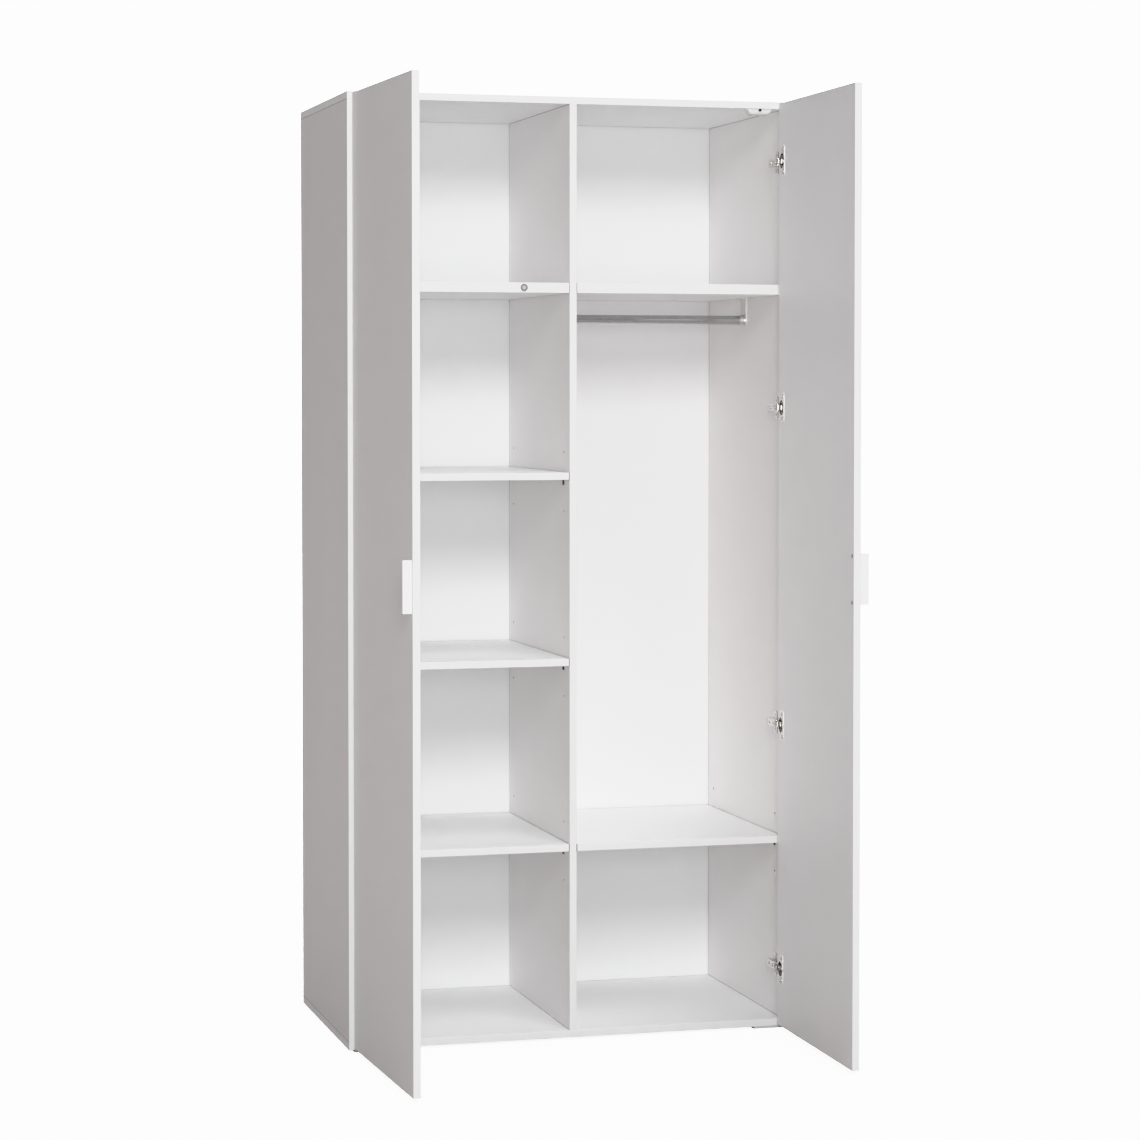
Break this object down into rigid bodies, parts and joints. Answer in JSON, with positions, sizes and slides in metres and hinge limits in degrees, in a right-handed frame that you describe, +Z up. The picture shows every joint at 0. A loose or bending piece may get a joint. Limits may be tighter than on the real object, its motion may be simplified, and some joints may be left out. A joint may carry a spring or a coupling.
{
  "type": "wardrobe",
  "caption": "White hinged-door wardrobe with an upright divider, shelves on one side, and a hat shelf over a clothes rail on the other, shown with its doors open.",
  "frame": {"origin": "on the floor, midway across the wardrobe and midway between the front of its open doors and its back edges", "axes": "+X to the right as seen from the front, +Y from the front to the back, +Z up"},
  "size_m": [0.988, 1.0216, 2.037],
  "materials": {
    "white_board": "white melamine-faced chipboard with matching edge bands",
    "door_board": "white melamine-faced chipboard door with matching edge bands",
    "white_hardboard": "thin hardboard, lacquered white inside",
    "white_handle": "satin white moulding",
    "dark_screw": "blackened screw head",
    "rail_chrome": "chromed steel tube",
    "bracket_metal": "zinc-plated pressed steel",
    "beech": "ribbed beech dowel",
    "grey_plastic": "light grey plastic",
    "black_rubber": "black rubber",
    "white_plastic": "white moulded plastic",
    "cast_zinc": "die-cast zinc cam",
    "zinc_screw": "bright zinc-plated steel",
    "hinge_steel": "nickel-plated pressed steel"
  },
  "bodies": {
    "carcass": {"back_panel": "white_hardboard", "back_panel_screws": "zinc_screw", "bottom_panel": "white_board", "cam_bolts": "zinc_screw", "cam_discs": "cast_zinc", "carcass_screws": "zinc_screw", "centre_divider": "white_board", "clothes_rail": "rail_chrome", "dowels": "beech", "glide_lips": "grey_plastic", "glide_pads": "black_rubber", "hat_shelf": "white_board", "left_arm_pins": "hinge_steel", "left_arm_screws": "zinc_screw", "left_fixed_shelf": "white_board", "left_hinge_arms": "hinge_steel", "left_mounting_plates": "hinge_steel", "left_plate_screws": "zinc_screw", "left_rail_bracket": "bracket_metal", "left_shelf_1": "white_board", "left_shelf_2": "white_board", "left_shelf_3": "white_board", "left_side": "white_board", "rail_screws": "zinc_screw", "right_arm_pins": "hinge_steel", "right_arm_screws": "zinc_screw", "right_hinge_arms": "hinge_steel", "right_mounting_plates": "hinge_steel", "right_plate_screws": "zinc_screw", "right_rail_bracket": "bracket_metal", "right_shelf": "white_board", "right_side": "white_board", "shelf_buffer": "black_rubber", "shelf_buffer_centre": "grey_plastic", "shelf_supports": "zinc_screw", "top_buffer": "white_plastic", "top_buffer_screws": "zinc_screw", "top_buffer_tip": "black_rubber", "top_panel": "white_board"},
    "left_links": {"left_hinge_links": "hinge_steel"},
    "left_door_leaf": {"left_door": "door_board", "left_handle": "white_handle", "left_handle_screws": "dark_screw", "left_hinge_cups": "hinge_steel", "left_cup_pins": "hinge_steel", "left_cup_screws": "zinc_screw"},
    "right_links": {"right_hinge_links": "hinge_steel"},
    "right_door_leaf": {"right_door": "door_board", "right_handle": "white_handle", "right_handle_screws": "dark_screw", "right_hinge_cups": "hinge_steel", "right_cup_pins": "hinge_steel", "right_cup_screws": "zinc_screw"}
  },
  "joints": [
    {"name": "left_link_hinge", "type": "hinge", "parent": "carcass", "child": "left_links", "pos_m": [-0.46682, -0.01601, 1.021], "axis": [0, 0, 1], "range_deg": [-39.5, 3.29]},
    {"name": "left_door_hinge", "type": "hinge", "parent": "left_links", "child": "left_door_leaf", "pos_m": [-0.4702, -0.03264, 1.021], "axis": [0, 0, 1], "range_deg": [-10.54, 127.21]},
    {"name": "right_link_hinge", "type": "hinge", "parent": "carcass", "child": "right_links", "pos_m": [0.46682, -0.01601, 1.021], "axis": [0, 0, 1], "range_deg": [-2.7, 40.09]},
    {"name": "right_door_hinge", "type": "hinge", "parent": "right_links", "child": "right_door_leaf", "pos_m": [0.47002, -0.03268, 1.021], "axis": [0, 0, 1], "range_deg": [-129.12, 8.63]}
  ],
  "couplings": [
    {"joint": "left_link_hinge", "follows": "left_door_hinge", "ratio": -0.31034},
    {"joint": "right_link_hinge", "follows": "right_door_hinge", "ratio": -0.31034}
  ]
}
